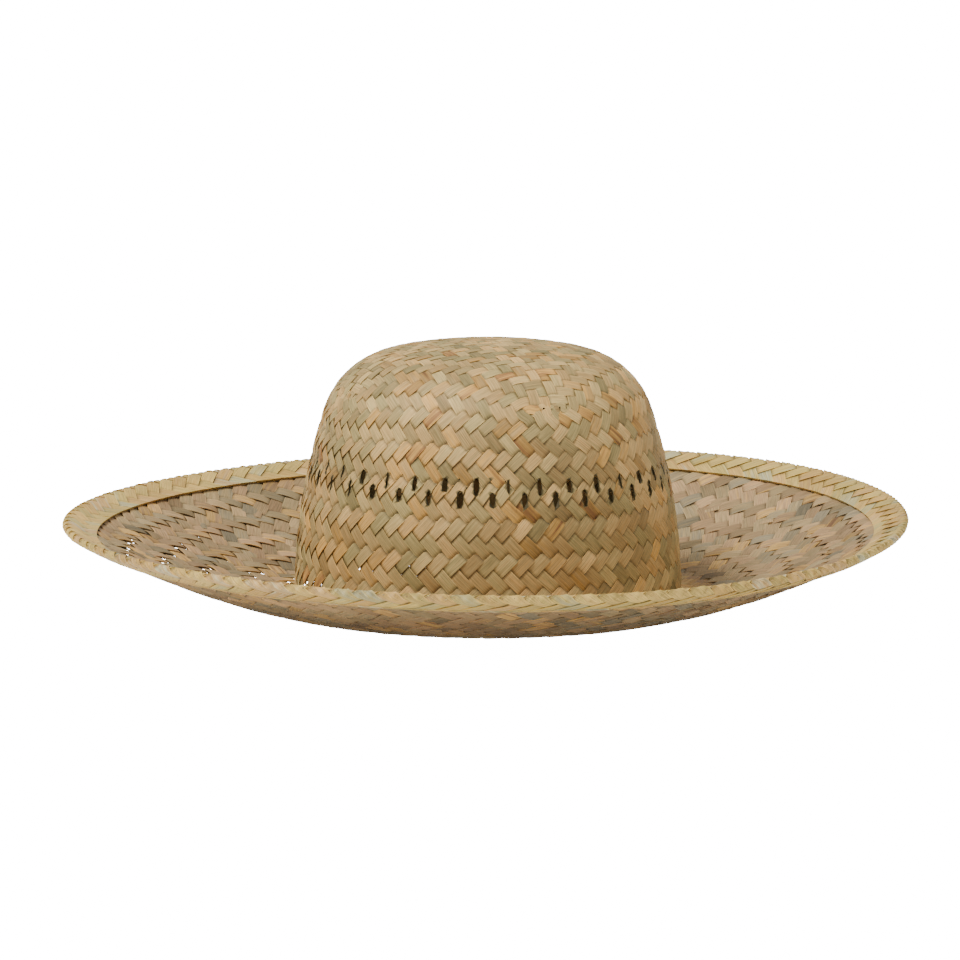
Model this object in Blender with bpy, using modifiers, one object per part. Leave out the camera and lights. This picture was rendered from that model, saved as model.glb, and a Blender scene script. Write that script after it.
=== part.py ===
"""A wide-brimmed sun hat hand-plaited from flat leaf strips, in metres, +Z up.

The hat is turned from one line, the middle of its wall: from the tip of the crown, over the shoulder, down the
wall, round the head opening and out along the bowl of the brim.  Each stretch of that line is a stage of the
plait and becomes one ring.  A stage meets the next in a half-thickness lap as wide as one strip, where the
strips of the real plait pass over and under.  The origin is the centre of the ring that the hat rests on.
"""

from math import atan2, cos, hypot, pi, radians, sin

import bmesh
import bpy
from mathutils import Matrix

MM = 0.001

# Driving dimensions, in millimetres.
BRIM_DIAMETER = 420.0
CROWN_DIAMETER = 193.4
CROWN_HEIGHT = 128.0
BRIM_RISE = 38.0
BRIM_BOWL_POWER = 1.45
PLAIT_THICKNESS = 1.4
STRIP_WIDTH = 6.0

# The crown's outside: a flat cap arc, a shoulder arc and a nearly upright wall arc, each tangent to the next.
CAP_RADIUS = 253.0
CAP_ANGLE = radians(11.4)
SHOULDER_RADIUS = 41.3
SHOULDER_ANGLE = radians(71.7)
TURN_RADIUS = 4.0
RESTING_RING_WIDTH = 3.0

# Where one stage of the plait gives way to the next: crown stages by height, brim stages by radius.
TIP_MAT_RADIUS = 68.0
VENT_BAND_TOP = 79.0
VENT_BAND_BOTTOM = 56.0
HEAD_OPENING_TOP = 12.0
BRIM_INNER_RADIUS = 106.0
BRIM_MIDDLE_RADIUS = 138.0
BRIM_OUTER_RADIUS = 170.0

# Vents: two staggered rows of upright slots, where the crossing strips are parted.
VENTS_PER_ROW = 36
VENT_HEIGHT = 8.0
VENT_WIDTH = 2.4
VENT_ROW_HEIGHTS = (71.0, 63.6)
VENT_CUT_DEPTH = 12.0

# The edge: a flat braid folded over the brim's cut edge and over a thin core.
BRAID_WIDTH = 17.0
BRAID_THICKNESS = 0.7
BRAID_CLEARANCE = 0.5
CORE_RADIUS = 0.9

GAP = 0.3
HAIR = 0.01
TURNS = 48
HALF_WALL = PLAIT_THICKNESS / 2
BRAID_INSIDE = HALF_WALL + BRAID_CLEARANCE
BRAID_OUTSIDE = BRAID_INSIDE + BRAID_THICKNESS
EDGE_CENTRE_RADIUS = BRIM_DIAMETER / 2 - BRAID_OUTSIDE

# The columns of a line's points after the distance.
RADIUS, HEIGHT = 1, 2

STRAW = (0.48, 0.37, 0.22)
STRAW_SHADED = (0.42, 0.32, 0.19)
BRIM_STRAW = (0.43, 0.33, 0.23)
EDGE_STRAW = (0.58, 0.48, 0.29)
CANE = (0.60, 0.48, 0.28)


def clear_scene():
    for thing in list(bpy.data.objects):
        bpy.data.objects.remove(thing, do_unlink=True)


def new_collection(name):
    collection = bpy.data.collections.new(name)
    bpy.context.scene.collection.children.link(collection)
    return collection


def material(name, colour, roughness=0.75):
    finish = bpy.data.materials.new(name)
    finish.use_nodes = True
    shader = finish.node_tree.nodes["Principled BSDF"]
    shader.inputs["Base Color"].default_value = (*colour, 1.0)
    shader.inputs["Roughness"].default_value = roughness
    shader.inputs["Metallic"].default_value = 0.0
    return finish


def arc(centre, radius, start, end, count):
    """Points at angles measured from straight up, turning outwards and down."""
    angles = [start + (end - start) * i / count for i in range(count + 1)]
    return [(centre[0] + radius * sin(a), centre[1] + radius * cos(a)) for a in angles]


def crown_line():
    """The middle of the crown's wall, from the axis down to where the wall stands upright."""
    middle = CROWN_DIAMETER / 2 - HALF_WALL
    cap, shoulder = CAP_RADIUS - HALF_WALL, SHOULDER_RADIUS - HALF_WALL
    reach = middle - (cap - shoulder) * sin(CAP_ANGLE) - shoulder * sin(SHOULDER_ANGLE)
    wall = reach / (1 - sin(SHOULDER_ANGLE))
    cap_centre = (0.0, CROWN_HEIGHT - CAP_RADIUS)
    shoulder_centre = (
        (cap - shoulder) * sin(CAP_ANGLE),
        cap_centre[1] + (cap - shoulder) * cos(CAP_ANGLE),
    )
    wall_centre = (
        shoulder_centre[0] + (shoulder - wall) * sin(SHOULDER_ANGLE),
        shoulder_centre[1] + (shoulder - wall) * cos(SHOULDER_ANGLE),
    )
    line = arc(cap_centre, cap, 0.0, CAP_ANGLE, 24)
    line += arc(shoulder_centre, shoulder, CAP_ANGLE, SHOULDER_ANGLE, 48)[1:]
    line += arc(wall_centre, wall, SHOULDER_ANGLE, pi / 2, 96)[1:]
    return line


def turn_line(wall_radius):
    """A quarter turn from the upright wall to the flat ring that the hat rests on."""
    centre = (wall_radius + TURN_RADIUS, HALF_WALL + TURN_RADIUS)
    quarter = [(pi / 2) * i / 8 for i in range(9)]
    turn = [(centre[0] - TURN_RADIUS * cos(a), centre[1] - TURN_RADIUS * sin(a)) for a in quarter]
    return turn + [(centre[0] + RESTING_RING_WIDTH, HALF_WALL)]


def brim_height(radius, start):
    """The bowl of the brim: it leaves the resting ring level and steepens towards the edge."""
    share = (radius - start) / (EDGE_CENTRE_RADIUS - start)
    return HALF_WALL + BRIM_RISE * max(share, 0.0) ** BRIM_BOWL_POWER


def hat_line():
    """The whole middle line as (distance along it, radius, height)."""
    wall = [p for p in crown_line() if p[1] > HALF_WALL + TURN_RADIUS + GAP]
    turn = turn_line(wall[-1][0])
    start = turn[-1][0]
    past_edge = EDGE_CENTRE_RADIUS + BRAID_OUTSIDE
    radii = [start + (past_edge - start) * i / 120 for i in range(1, 121)]
    points = wall + turn + [(r, brim_height(r, start)) for r in radii]
    line = [(0.0, *points[0])]
    for before, after in zip(points, points[1:]):
        line.append((line[-1][0] + hypot(after[0] - before[0], after[1] - before[1]), *after))
    return line


def point_at(line, distance):
    """Radius, height and outward normal at a distance along the line."""
    for before, after in zip(line, line[1:]):
        if after[0] >= distance:
            break
    share = (distance - before[0]) / (after[0] - before[0])
    along = (after[1] - before[1], after[2] - before[2])
    length = hypot(*along)
    radius = before[1] + share * along[0]
    height = before[2] + share * along[1]
    return radius, height, (-along[1] / length, along[0] / length)


def offset_point(line, distance, offset):
    """A point beside the line, on its outer side where the offset is positive."""
    radius, height, normal = point_at(line, distance)
    return max(radius + offset * normal[0], 0.0), height + offset * normal[1]


def run(line, start, end, offset, spacing, kept=()):
    """Evenly spaced points beside the line, ends included, and one at each kept distance on the way."""
    count = max(1, round(abs(end - start) / spacing))
    stops = [start + (end - start) * i / count for i in range(count + 1)]
    stops += [stop for stop in kept if min(start, end) < stop < max(start, end)]
    stops.sort(reverse=end < start)
    return [offset_point(line, stop, offset) for stop in stops]


def distance_at(line, level, column):
    """How far along the line its radius (column 1) or height (column 2) first passes a level."""
    for before, after in zip(line, line[1:]):
        if (before[column] - level) * (after[column] - level) <= 0:
            share = (level - before[column]) / (after[column] - before[column])
            return before[0] + share * (after[0] - before[0])
    raise ValueError(f"the line never reaches {level} mm")


def resting_ring(line):
    """Where the flat ring that the hat rests on starts and ends, a hair inside its two ends."""
    level = [distance for distance, _, height in line if abs(height - HALF_WALL) < HAIR]
    return min(level) + HAIR, max(level) - HAIR


def stage_section(line, start, end, spacing, kept=(), first=False, last=False):
    """The closed section of one stage, down its outer side and back up its inner side.

    At each end the outer half of the wall runs half a strip further along than the inner half, so that the
    stage above laps over the stage below.
    """
    lap, clear = STRIP_WIDTH / 2, GAP / 2
    outer_start = start + lap + clear
    inner_start = start - lap + clear
    outer_end = end + lap - clear
    inner_end = end - lap - clear
    if last:
        outer_end = inner_end = end
    section = []
    if first:
        outer_start = inner_start = 0.0
    else:
        section += [offset_point(line, inner_start, -clear), offset_point(line, outer_start, -clear)]
    section += run(line, outer_start, outer_end, HALF_WALL, spacing, kept)
    if not last:
        section += [offset_point(line, outer_end, clear), offset_point(line, inner_end, clear)]
    section += run(line, inner_end, inner_start, -HALF_WALL, spacing, kept)
    return section


def turned(name, section, collection, finish, closed=True):
    """A section in the XZ plane carried once round the Z axis by a Screw modifier."""
    count = len(section)
    edges = [(i, i + 1) for i in range(count - 1)]
    if closed:
        edges.append((count - 1, 0))
    mesh = bpy.data.meshes.new(name)
    mesh.from_pydata([(r * MM, 0.0, z * MM) for r, z in section], edges, [])
    piece = bpy.data.objects.new(name, mesh)
    collection.objects.link(piece)
    mesh.materials.append(finish)
    screw = piece.modifiers.new("turn", "SCREW")
    screw.steps = TURNS
    screw.render_steps = TURNS
    screw.use_merge_vertices = True
    screw.merge_threshold = 0.00005
    screw.use_smooth_shade = True
    return piece


def vent_cutter(line, collection):
    """One six-sided lens for each vent, standing on the wall, both rows in one mesh, half a pitch apart."""
    mesh = bpy.data.meshes.new("vent_cutter")
    lenses = bmesh.new()
    for row, height in enumerate(VENT_ROW_HEIGHTS):
        radius, level, normal = point_at(line, distance_at(line, height, HEIGHT))
        lean = atan2(normal[0], normal[1])
        for number in range(VENTS_PER_ROW):
            bearing = 2 * pi * (number + 0.5 * (1 + row)) / VENTS_PER_ROW
            place = (
                Matrix.Rotation(bearing, 4, "Z")
                @ Matrix.Translation((radius * MM, 0.0, level * MM))
                @ Matrix.Rotation(lean, 4, "Y")
                @ Matrix.Diagonal((VENT_HEIGHT / 2, VENT_WIDTH / 2, 1.0, 1.0))
            )
            bmesh.ops.create_cone(
                lenses,
                cap_ends=True,
                segments=6,
                radius1=MM,
                radius2=MM,
                depth=VENT_CUT_DEPTH * MM,
                matrix=place,
            )
    lenses.to_mesh(mesh)
    lenses.free()
    cutter = bpy.data.objects.new("vent_cutter", mesh)
    collection.objects.link(cutter)
    cutter.hide_render = True
    cutter.display_type = "WIRE"
    return cutter


def cut_vents(band, cutter):
    cut = band.modifiers.new("vents", "BOOLEAN")
    cut.operation = "DIFFERENCE"
    cut.solver = "EXACT"
    cut.object = cutter


def braid_section(line, edge):
    """A U lying on its side: along the top of the brim, round the edge, and back along the underside."""
    inner = edge - BRAID_WIDTH + BRAID_OUTSIDE
    radius, height, normal = point_at(line, edge)
    along = (normal[1], -normal[0])

    def bight(size, angles):
        return [
            (
                radius + size * (cos(a) * normal[0] + sin(a) * along[0]),
                height + size * (cos(a) * normal[1] + sin(a) * along[1]),
            )
            for a in angles
        ]

    steps = [pi * i / 4 for i in range(5)]
    section = run(line, inner, edge, BRAID_OUTSIDE, 8.0)[:-1]
    section += bight(BRAID_OUTSIDE, steps)
    section += run(line, edge, inner, -BRAID_OUTSIDE, 8.0)[1:]
    section += run(line, inner, edge, -BRAID_INSIDE, 8.0)[:-1]
    section += bight(BRAID_INSIDE, reversed(steps))
    section += run(line, edge, inner, BRAID_INSIDE, 8.0)[1:]
    return section


def core_section(line, edge):
    radius, height, _ = point_at(line, edge)
    return arc((radius, height), CORE_RADIUS, 0.0, 2 * pi, 6)[:-1]


def build():
    clear_scene()
    hat = new_collection("sun_hat")
    cutters = new_collection("cutters")
    line = hat_line()
    crown_straw = material("leaf_strips_crown", STRAW)
    shaded_straw = material("leaf_strips_low_crown", STRAW_SHADED)
    brim_straw = material("leaf_strips_brim", BRIM_STRAW)
    edge_straw = material("leaf_strips_edge_braid", EDGE_STRAW, 0.65)
    cane = material("split_cane", CANE, 0.6)

    tip = distance_at(line, TIP_MAT_RADIUS, RADIUS)
    vents_start = distance_at(line, VENT_BAND_TOP, HEIGHT)
    vents_end = distance_at(line, VENT_BAND_BOTTOM, HEIGHT)
    wall_end = distance_at(line, HEAD_OPENING_TOP, HEIGHT)
    brim_start = distance_at(line, BRIM_INNER_RADIUS, RADIUS)
    middle_start = distance_at(line, BRIM_MIDDLE_RADIUS, RADIUS)
    outer_start = distance_at(line, BRIM_OUTER_RADIUS, RADIUS)
    edge = distance_at(line, EDGE_CENTRE_RADIUS, RADIUS)
    sheet_end = edge - CORE_RADIUS - GAP

    tip_section = stage_section(line, 0.0, tip, 14.0, first=True)
    turned("crown_tip_mat", tip_section, hat, crown_straw, closed=False)
    shoulder = stage_section(line, tip, vents_start, 9.0)
    turned("crown_shoulder_weave", shoulder, hat, crown_straw)
    vents = stage_section(line, vents_start, vents_end, 12.0)
    band = turned("crown_vent_band", vents, hat, crown_straw)
    cut_vents(band, vent_cutter(line, cutters))
    wall = stage_section(line, vents_end, wall_end, 15.0)
    turned("crown_wall_weave", wall, hat, shaded_straw)
    opening = stage_section(line, wall_end, brim_start, 3.0, kept=resting_ring(line))
    turned("head_opening_turn", opening, hat, shaded_straw)
    inner = stage_section(line, brim_start, middle_start, 11.0)
    turned("brim_inner_weave", inner, hat, brim_straw)
    middle = stage_section(line, middle_start, outer_start, 12.0)
    turned("brim_middle_weave", middle, hat, brim_straw)
    outer = stage_section(line, outer_start, sheet_end, 13.0, last=True)
    turned("brim_outer_weave", outer, hat, brim_straw)
    turned("edge_core", core_section(line, edge), hat, cane)
    turned("edge_braid", braid_section(line, edge), hat, edge_straw)


build()
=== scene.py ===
"""A wide-brimmed sun hat, plaited strip by strip from flat dried leaf.

Seventy-two strips start as a square mat on the tip of the crown.  Their 144 ends turn down at the mat's four
corners, cross each other all the way down the crown and out along the brim, and end under the flat braid that
binds the edge.  Lengths are in millimetres until a mesh is made.
"""

import bpy
import numpy as np
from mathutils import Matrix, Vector


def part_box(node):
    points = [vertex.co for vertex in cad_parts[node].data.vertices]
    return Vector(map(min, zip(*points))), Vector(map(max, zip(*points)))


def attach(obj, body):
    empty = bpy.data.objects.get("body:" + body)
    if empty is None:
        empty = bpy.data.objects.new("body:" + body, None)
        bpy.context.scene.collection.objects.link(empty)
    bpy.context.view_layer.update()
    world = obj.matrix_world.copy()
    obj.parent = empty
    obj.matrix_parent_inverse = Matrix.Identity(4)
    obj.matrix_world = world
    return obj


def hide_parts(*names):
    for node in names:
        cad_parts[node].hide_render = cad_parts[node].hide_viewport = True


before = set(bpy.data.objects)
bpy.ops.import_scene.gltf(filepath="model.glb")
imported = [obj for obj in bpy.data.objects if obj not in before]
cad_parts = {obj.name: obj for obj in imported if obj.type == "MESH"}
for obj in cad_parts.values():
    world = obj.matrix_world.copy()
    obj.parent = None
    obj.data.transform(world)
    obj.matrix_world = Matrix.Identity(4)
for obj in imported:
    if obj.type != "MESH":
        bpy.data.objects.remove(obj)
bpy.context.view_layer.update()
MM = 0.001
chance = np.random.default_rng(41)


# ---- The block: the round form that the strips are plaited over -------------------------------------------
# A wooden block gives the hat its shape: a flat cap, a round shoulder, a nearly upright wall and a small turn
# into the brim, which rises like a shallow bowl.  The plait's middle surface is this line carried round Z.

crown_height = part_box("crown_tip_mat")[1].z / MM
crown_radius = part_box("crown_wall_weave")[1].x / MM
core_low, core_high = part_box("edge_core")
core_radius = (core_high.z - core_low.z) / MM / 2
edge_height = (core_high.z + core_low.z) / MM / 2
edge_radius = core_high.x / MM - core_radius * np.sin(np.pi / 3)

HALF_WALL = 0.7
CAP_RADIUS = 253.0 - HALF_WALL
CAP_ANGLE = np.radians(11.4)
SHOULDER_RADIUS = 41.3 - HALF_WALL
SHOULDER_ANGLE = np.radians(71.7)
TURN_RADIUS = 4.0
RESTING_RING_WIDTH = 3.0
BOWL_POWER = 1.45  # the brim starts level and rises more and more steeply


def arc(centre, radius, start, end, count=400):
    """(r, z) = centre + radius (sin a, cos a) for even angles a, measured from straight up."""
    angle = np.linspace(start, end, count)
    return np.stack([centre[0] + radius * np.sin(angle), centre[1] + radius * np.cos(angle)], 1)


def bowl(radius, start):
    """z = half wall + rise share^power, where share runs from 0 at the resting ring to 1 at the edge."""
    share = (radius - start) / (edge_radius - start)
    return HALF_WALL + (edge_height - HALF_WALL) * share**BOWL_POWER


cap_centre = np.array([0.0, crown_height - HALF_WALL - CAP_RADIUS])
shoulder_way = np.array([np.sin(CAP_ANGLE), np.cos(CAP_ANGLE)])
shoulder_centre = cap_centre + (CAP_RADIUS - SHOULDER_RADIUS) * shoulder_way
wall_way = np.array([np.sin(SHOULDER_ANGLE), np.cos(SHOULDER_ANGLE)])
wall_reach = crown_radius - HALF_WALL - shoulder_centre[0] - SHOULDER_RADIUS * wall_way[0]
wall_radius = wall_reach / (1 - wall_way[0])
wall_centre = shoulder_centre + (SHOULDER_RADIUS - wall_radius) * wall_way
wall = arc(wall_centre, wall_radius, SHOULDER_ANGLE, np.pi / 2)
wall = wall[wall[:, 1] > HALF_WALL + TURN_RADIUS]
turn_centre = (wall[-1, 0] + TURN_RADIUS, HALF_WALL + TURN_RADIUS)
turn = arc(turn_centre, TURN_RADIUS, -np.pi / 2, -np.pi, 60)
bowl_start = turn_centre[0] + RESTING_RING_WIDTH
bowl_r = np.linspace(bowl_start, edge_radius + 3.0, 400)
line = np.concatenate(
    [
        arc(cap_centre, CAP_RADIUS, 0.0, CAP_ANGLE),
        arc(shoulder_centre, SHOULDER_RADIUS, CAP_ANGLE, SHOULDER_ANGLE)[1:],
        wall[1:],
        turn,
        np.stack([bowl_r, bowl(np.maximum(bowl_r, bowl_start), bowl_start)], 1),
    ]
)
line_length = np.append(0.0, np.cumsum(np.hypot(*np.diff(line, axis=0).T)))
FINE = 0.2
line_s = np.arange(0.0, line_length[-1], FINE)
line_r = np.interp(line_s, line_length, line[:, 0])
line_z = np.interp(line_s, line_length, line[:, 1])
line_slope = np.arctan2(np.gradient(line_z), np.gradient(line_r))
on_brim = line_s > 200.0
edge_s = np.interp(edge_radius, line_r[on_brim], line_s[on_brim])

# The worn brim dips and rises by a few millimetres, and the crown has shifted a little to one side.
RAISED, TWO_LOBES, ONE_LOBE = 0.76, 2.28, 1.52
TWO_LOBES_BEARING, ONE_LOBE_BEARING = np.radians(37), np.radians(-19)
OFF_CENTRE = 1.25


def brim_share(radius):
    """0 at the resting ring and inside it, 1 at the edge."""
    return np.clip((radius - bowl_start) / (edge_radius - bowl_start), 0.0, None)


def sway(bearing, radius):
    """A soft brim isn't level: z = share^2 (raised + two lobes cos 2(b - b2) + one lobe cos(b - b1))."""
    two = TWO_LOBES * np.cos(2 * (bearing - TWO_LOBES_BEARING))
    one = ONE_LOBE * np.cos(bearing - ONE_LOBE_BEARING)
    return brim_share(radius) ** 2 * (RAISED + (two + one))


def on_hat(plan, lift=0.0):
    """Lays a flat plan on the hat.

    A plan point is a complex number.  Its size is the distance s from the tip along the block's line, and its
    angle is the bearing round Z.  The point lands at that distance and bearing, lift above the line.  The crown
    stands a little off the brim's centre, by (1 - share) off centre along X.
    """
    s, bearing = np.abs(plan), np.angle(plan)
    slope = np.interp(s, line_s, line_slope)
    radius = np.interp(s, line_s, line_r)
    height = np.interp(s, line_s, line_z) + sway(bearing, radius)
    out = radius - lift * np.sin(slope)
    aside = OFF_CENTRE * np.clip(1 - brim_share(radius), 0, 1)
    return np.stack([aside + out * np.cos(bearing), out * np.sin(bearing), height + lift * np.cos(slope)], -1)


# ---- The ground plan: where the strips cross --------------------------------------------------------------
# The strips lie in two sets that cross at right angles.  Rows of crossings run round the hat, 72 in a row on the
# crown.  Row 0 is the edge of the square mat on the tip, and row 52 lies under the edge braid.

ENDS = 72  # strips of one set round the crown
SIDE = 18  # crossings along one side of the mat
BEARING = -156.2  # degrees, of the first corner of the mat
WALL_START, WALL_ROW = 74.5, 4.05  # where row 0 would lie on an even wall, and how far apart rows are there
BASE_ROW, LAST_ROW = 28, 52
BRIM_START = WALL_START + WALL_ROW * BASE_ROW
BRIM_ROW = (edge_s - 1.2 - BRIM_START) / (LAST_ROW - BASE_ROW)


def row_distance(row):
    """How far from the tip a row lies: evenly spaced down the crown, and wider apart on the brim."""
    return WALL_START + WALL_ROW * row + (BRIM_ROW - WALL_ROW) * np.maximum(row - BASE_ROW, 0)


def row_plan(row, place):
    """The plan point in a row at a place of 0 to 72, counted round the hat."""
    return row_distance(row) * np.exp(1j * (2 * np.pi * place / ENDS + np.radians(BEARING)))


PULL_SHARE = 0.9


def settle(plan, pairs, rest, stiff, free, rounds=500):
    """Pulls every pair of crossings towards its rest length on the hat and keeps the crossings on the hat.

    Each round moves both ends of a pair by a share of its error, then turns the move back into the plan:
    along the line as it is, and round the hat by s / r.
    """
    first, second = pairs
    touched = np.bincount(np.concatenate(pairs), np.concatenate([stiff, stiff]), len(plan))[:, None]
    for _ in range(rounds):
        place = on_hat(plan)
        gap = place[second] - place[first]
        length = np.linalg.norm(gap, axis=1)
        pull = (stiff * (length - rest) / length * PULL_SHARE)[:, None] * gap / 2
        move = np.zeros_like(place)
        np.add.at(move, first, pull)
        np.add.at(move, second, -pull)
        move /= np.maximum(touched, 1e-9) / 2
        s, bearing = np.maximum(np.abs(plan), 1e-3), np.angle(plan)
        slope = np.interp(s, line_s, line_slope)
        radius = np.maximum(np.interp(s, line_s, line_r), 1e-3)
        outward = move[:, 0] * np.cos(bearing) + move[:, 1] * np.sin(bearing)
        along = outward * np.cos(slope) + move[:, 2] * np.sin(slope)
        round_hat = (move[:, 1] * np.cos(bearing) - move[:, 0] * np.sin(bearing)) * s / radius
        plan = plan + np.where(free, (along + 1j * round_hat) * np.exp(1j * bearing), 0)
    return plan


# Crossings inside the mat: strip p crosses strip q at x = (p + q) / 2, y = (p - q) / 2.
half = np.arange(2 * SIDE) - SIDE + 0.5
p_grid, q_grid = np.meshgrid(half, half, indexing="ij")
in_mat = np.abs(p_grid) + np.abs(q_grid) <= SIDE
mat_id = np.where(in_mat, np.cumsum(in_mat).reshape(in_mat.shape) - 1, -1)
MAT_SPACING = 6.9  # mm, before the mat settles
mat_turn = np.exp(1j * np.radians(BEARING + 90 + 45))
mat_plan = (p_grid + q_grid + 1j * (p_grid - q_grid))[in_mat] / 2 * MAT_SPACING * mat_turn

# Row 0 is the mat's outline, and the rows below it are numbered on from there.
FREE_ROWS = 18
place_zero = np.arange(ENDS) + 0.5
side_zero = (place_zero // SIDE).astype(int)
rim = (place_zero % SIDE - SIDE / 2 - 1j * SIDE / 2) * 1j**side_zero
rim_p = np.rint(rim.real + rim.imag + SIDE - 0.5).astype(int)
rim_q = np.rint(rim.real - rim.imag + SIDE - 0.5).astype(int)
row_id = np.zeros((FREE_ROWS + 1, ENDS), int)
row_id[0] = mat_id[rim_p, rim_q]
row_id[1:] = len(mat_plan) + np.arange(FREE_ROWS * ENDS).reshape(FREE_ROWS, ENDS)
rows, ends = np.meshgrid(np.arange(1, FREE_ROWS + 1), np.arange(ENDS), indexing="ij")
wall_plan = row_plan(rows, ends + 0.5 * (rows % 2 == 0))
plan = np.concatenate([mat_plan, wall_plan.ravel()])

pairs, rests, stiffs = [], [], []


def tie(first, second, rest, stiff):
    """Notes a pair of neighbouring crossings, their rest length and how stiffly it is kept."""
    known = (first >= 0) & (second >= 0)
    pairs.append(np.stack([first[known], second[known]]))
    rests.append(np.broadcast_to(rest, first.shape)[known])
    stiffs.append(np.full(known.sum(), stiff))


MAT_PITCH, WALL_PITCH = 4.95, 5.7  # between neighbouring strips, on the mat and on the upper wall
DIAGONAL = 0.15  # how stiffly the plait keeps its right angles; the strips themselves count 1
tie(mat_id[:-1], mat_id[1:], MAT_PITCH, 1.0)
tie(mat_id[:, :-1], mat_id[:, 1:], MAT_PITCH, 1.0)
tie(mat_id[:-1, :-1], mat_id[1:, 1:], MAT_PITCH * np.sqrt(2), DIAGONAL)
tie(mat_id[1:, :-1], mat_id[:-1, 1:], MAT_PITCH * np.sqrt(2), DIAGONAL)
for row in range(FREE_ROWS):
    upper, lower = row_id[row], row_id[row + 1]
    pitch = np.interp(row, [0, FREE_ROWS], [MAT_PITCH, WALL_PITCH])
    step = row % 2
    tie(upper, np.roll(lower, step), pitch, 1.0)
    tie(upper, np.roll(lower, step - 1), pitch, 1.0)
    tie(lower, np.roll(lower, 1), pitch * np.sqrt(2), DIAGONAL)
free = np.ones(len(plan), bool)
free[row_id[-2:].ravel()] = False
plan = settle(plan, np.concatenate(pairs, 1), np.concatenate(rests), np.concatenate(stiffs), free)

# The rows of the upper wall were pulled up by about a millimetre, and more on one side than on the other.
SLIP, SLIP_LEAN, SLIP_BEARING = 1.1, 1.9, np.radians(-165)
SLIP_GROWS, SLIP_FADES = (55.0, 112.0), (124.0, 186.0)


def slipped(plan):
    """The plait isn't quite level: s falls by (slip + lean cos(bearing - slip bearing)) over the upper wall."""
    s, bearing = np.abs(plan), np.angle(plan)
    share = np.interp(s, SLIP_GROWS + SLIP_FADES, (0, 1, 1, 0))
    share = share * share * (3 - 2 * share)
    return (s - share * (SLIP + SLIP_LEAN * np.cos(bearing - SLIP_BEARING))) * np.exp(1j * bearing)


plan = slipped(plan)

# How far apart the strips lie at each crossing: with a and b the steps from one crossing to the next in the two
# sets, the strips of the set along a are |a x b| / |a| apart, and the narrower of the two is kept.
placed = on_hat(plan)


def steps(grid, axis):
    """Half the step from the crossing before to the crossing after, or the whole step at the mat's edge."""
    grid = np.moveaxis(grid, axis, 0)
    here = placed[grid]
    edge = np.full_like(grid[:1], -1)
    before, after = np.concatenate([edge, grid[:-1]]), np.concatenate([grid[1:], edge])
    step_back = np.where((before >= 0)[..., None], here - placed[before], np.nan)
    step_on = np.where((after >= 0)[..., None], placed[after] - here, np.nan)
    both = np.where(np.isnan(step_on), step_back, (step_back + step_on) / 2)
    return np.moveaxis(np.where(np.isnan(step_back), step_on, both), 0, axis)


def apart(first, second):
    """Distance between strips: |a x b| / |a|, taken with the longer step."""
    area = np.linalg.norm(np.cross(first, second), axis=-1)
    return area / np.maximum(np.linalg.norm(first, axis=-1), np.linalg.norm(second, axis=-1))


NARROWEST = 4.4  # mm, at the mat's corners, where the strips bunch up and overlap
room = np.zeros(len(plan))
room[mat_id[in_mat]] = apart(steps(mat_id, 0), steps(mat_id, 1))[in_mat]
for row in range(1, FREE_ROWS):
    shift = (row - 1) % 2
    upper_left, upper_right = np.roll(row_id[row - 1], shift), np.roll(row_id[row - 1], shift - 1)
    lower_left, lower_right = np.roll(row_id[row + 1], shift), np.roll(row_id[row + 1], shift - 1)
    falling = (placed[lower_left] - placed[upper_right]) / 2
    rising = (placed[lower_right] - placed[upper_left]) / 2
    room[row_id[row]] = apart(falling, rising)
next_row = np.minimum(room[row_id[1]], np.roll(room[row_id[1]], 1))
room[row_id[0]] = np.minimum(room[row_id[0]], next_row)
room = np.maximum(room, NARROWEST)

# On the brim more strips are laid in, so that 72 in a row become 96 and then 120.  A strip that is there already
# slides over to the nearest of the new places, and the places left empty start a new strip.
BRIM_COUNTS = (72, 96, 120)
ADDING_ROWS = (37.0, 44.0)
ADDING_REACH = 2.0  # rows over which the strips slide to their new places, on each side of the row
ROW_STEP = 0.2
PER_ROW = 5
row_fine = np.arange(BASE_ROW, LAST_ROW + ROW_STEP / 2, ROW_STEP)


def ease(share):
    """Smoothstep: 3 x^2 - 2 x^3 with x held between 0 and 1."""
    share = np.clip(share, 0.0, 1.0)
    return share * share * (3 - 2 * share)


def brim_strips(lean):
    """Bearings of all strips of one set along the brim, as turns, and the row in which each starts.

    Place + lean row / 2 is a strip's lane.  A lane's bearing is (lane + lean row / 2) / count turns.
    """
    bearings = (place_zero[:, None] + lean * row_fine / 2) / ENDS
    starts = np.zeros(ENDS)
    for count, adding in zip(BRIM_COUNTS[1:], ADDING_ROWS):
        at = np.argmin(np.abs(row_fine - adding))
        lane = np.floor(bearings[:, at] * count - lean * adding / 2) + 0.5
        empty = np.setdiff1d(np.arange(count), np.floor(lane % count).astype(int)) + 0.5
        share = ease((row_fine - adding + ADDING_REACH) / (2 * ADDING_REACH))
        settled = (lane[:, None] + lean * row_fine / 2) / count
        added = (empty[:, None] + lean * row_fine / 2) / count
        bearings = np.concatenate([bearings * (1 - share) + settled * share, added])
        under = adding - 1.0 if lean > 0 else adding - 2.0  # so that the cut end lies under a float
        starts = np.append(starts, np.full(len(empty), under))
    return bearings, starts


LEANS = {"left": -1, "right": 1}
brim = {name: brim_strips(lean) for name, lean in LEANS.items()}


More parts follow.
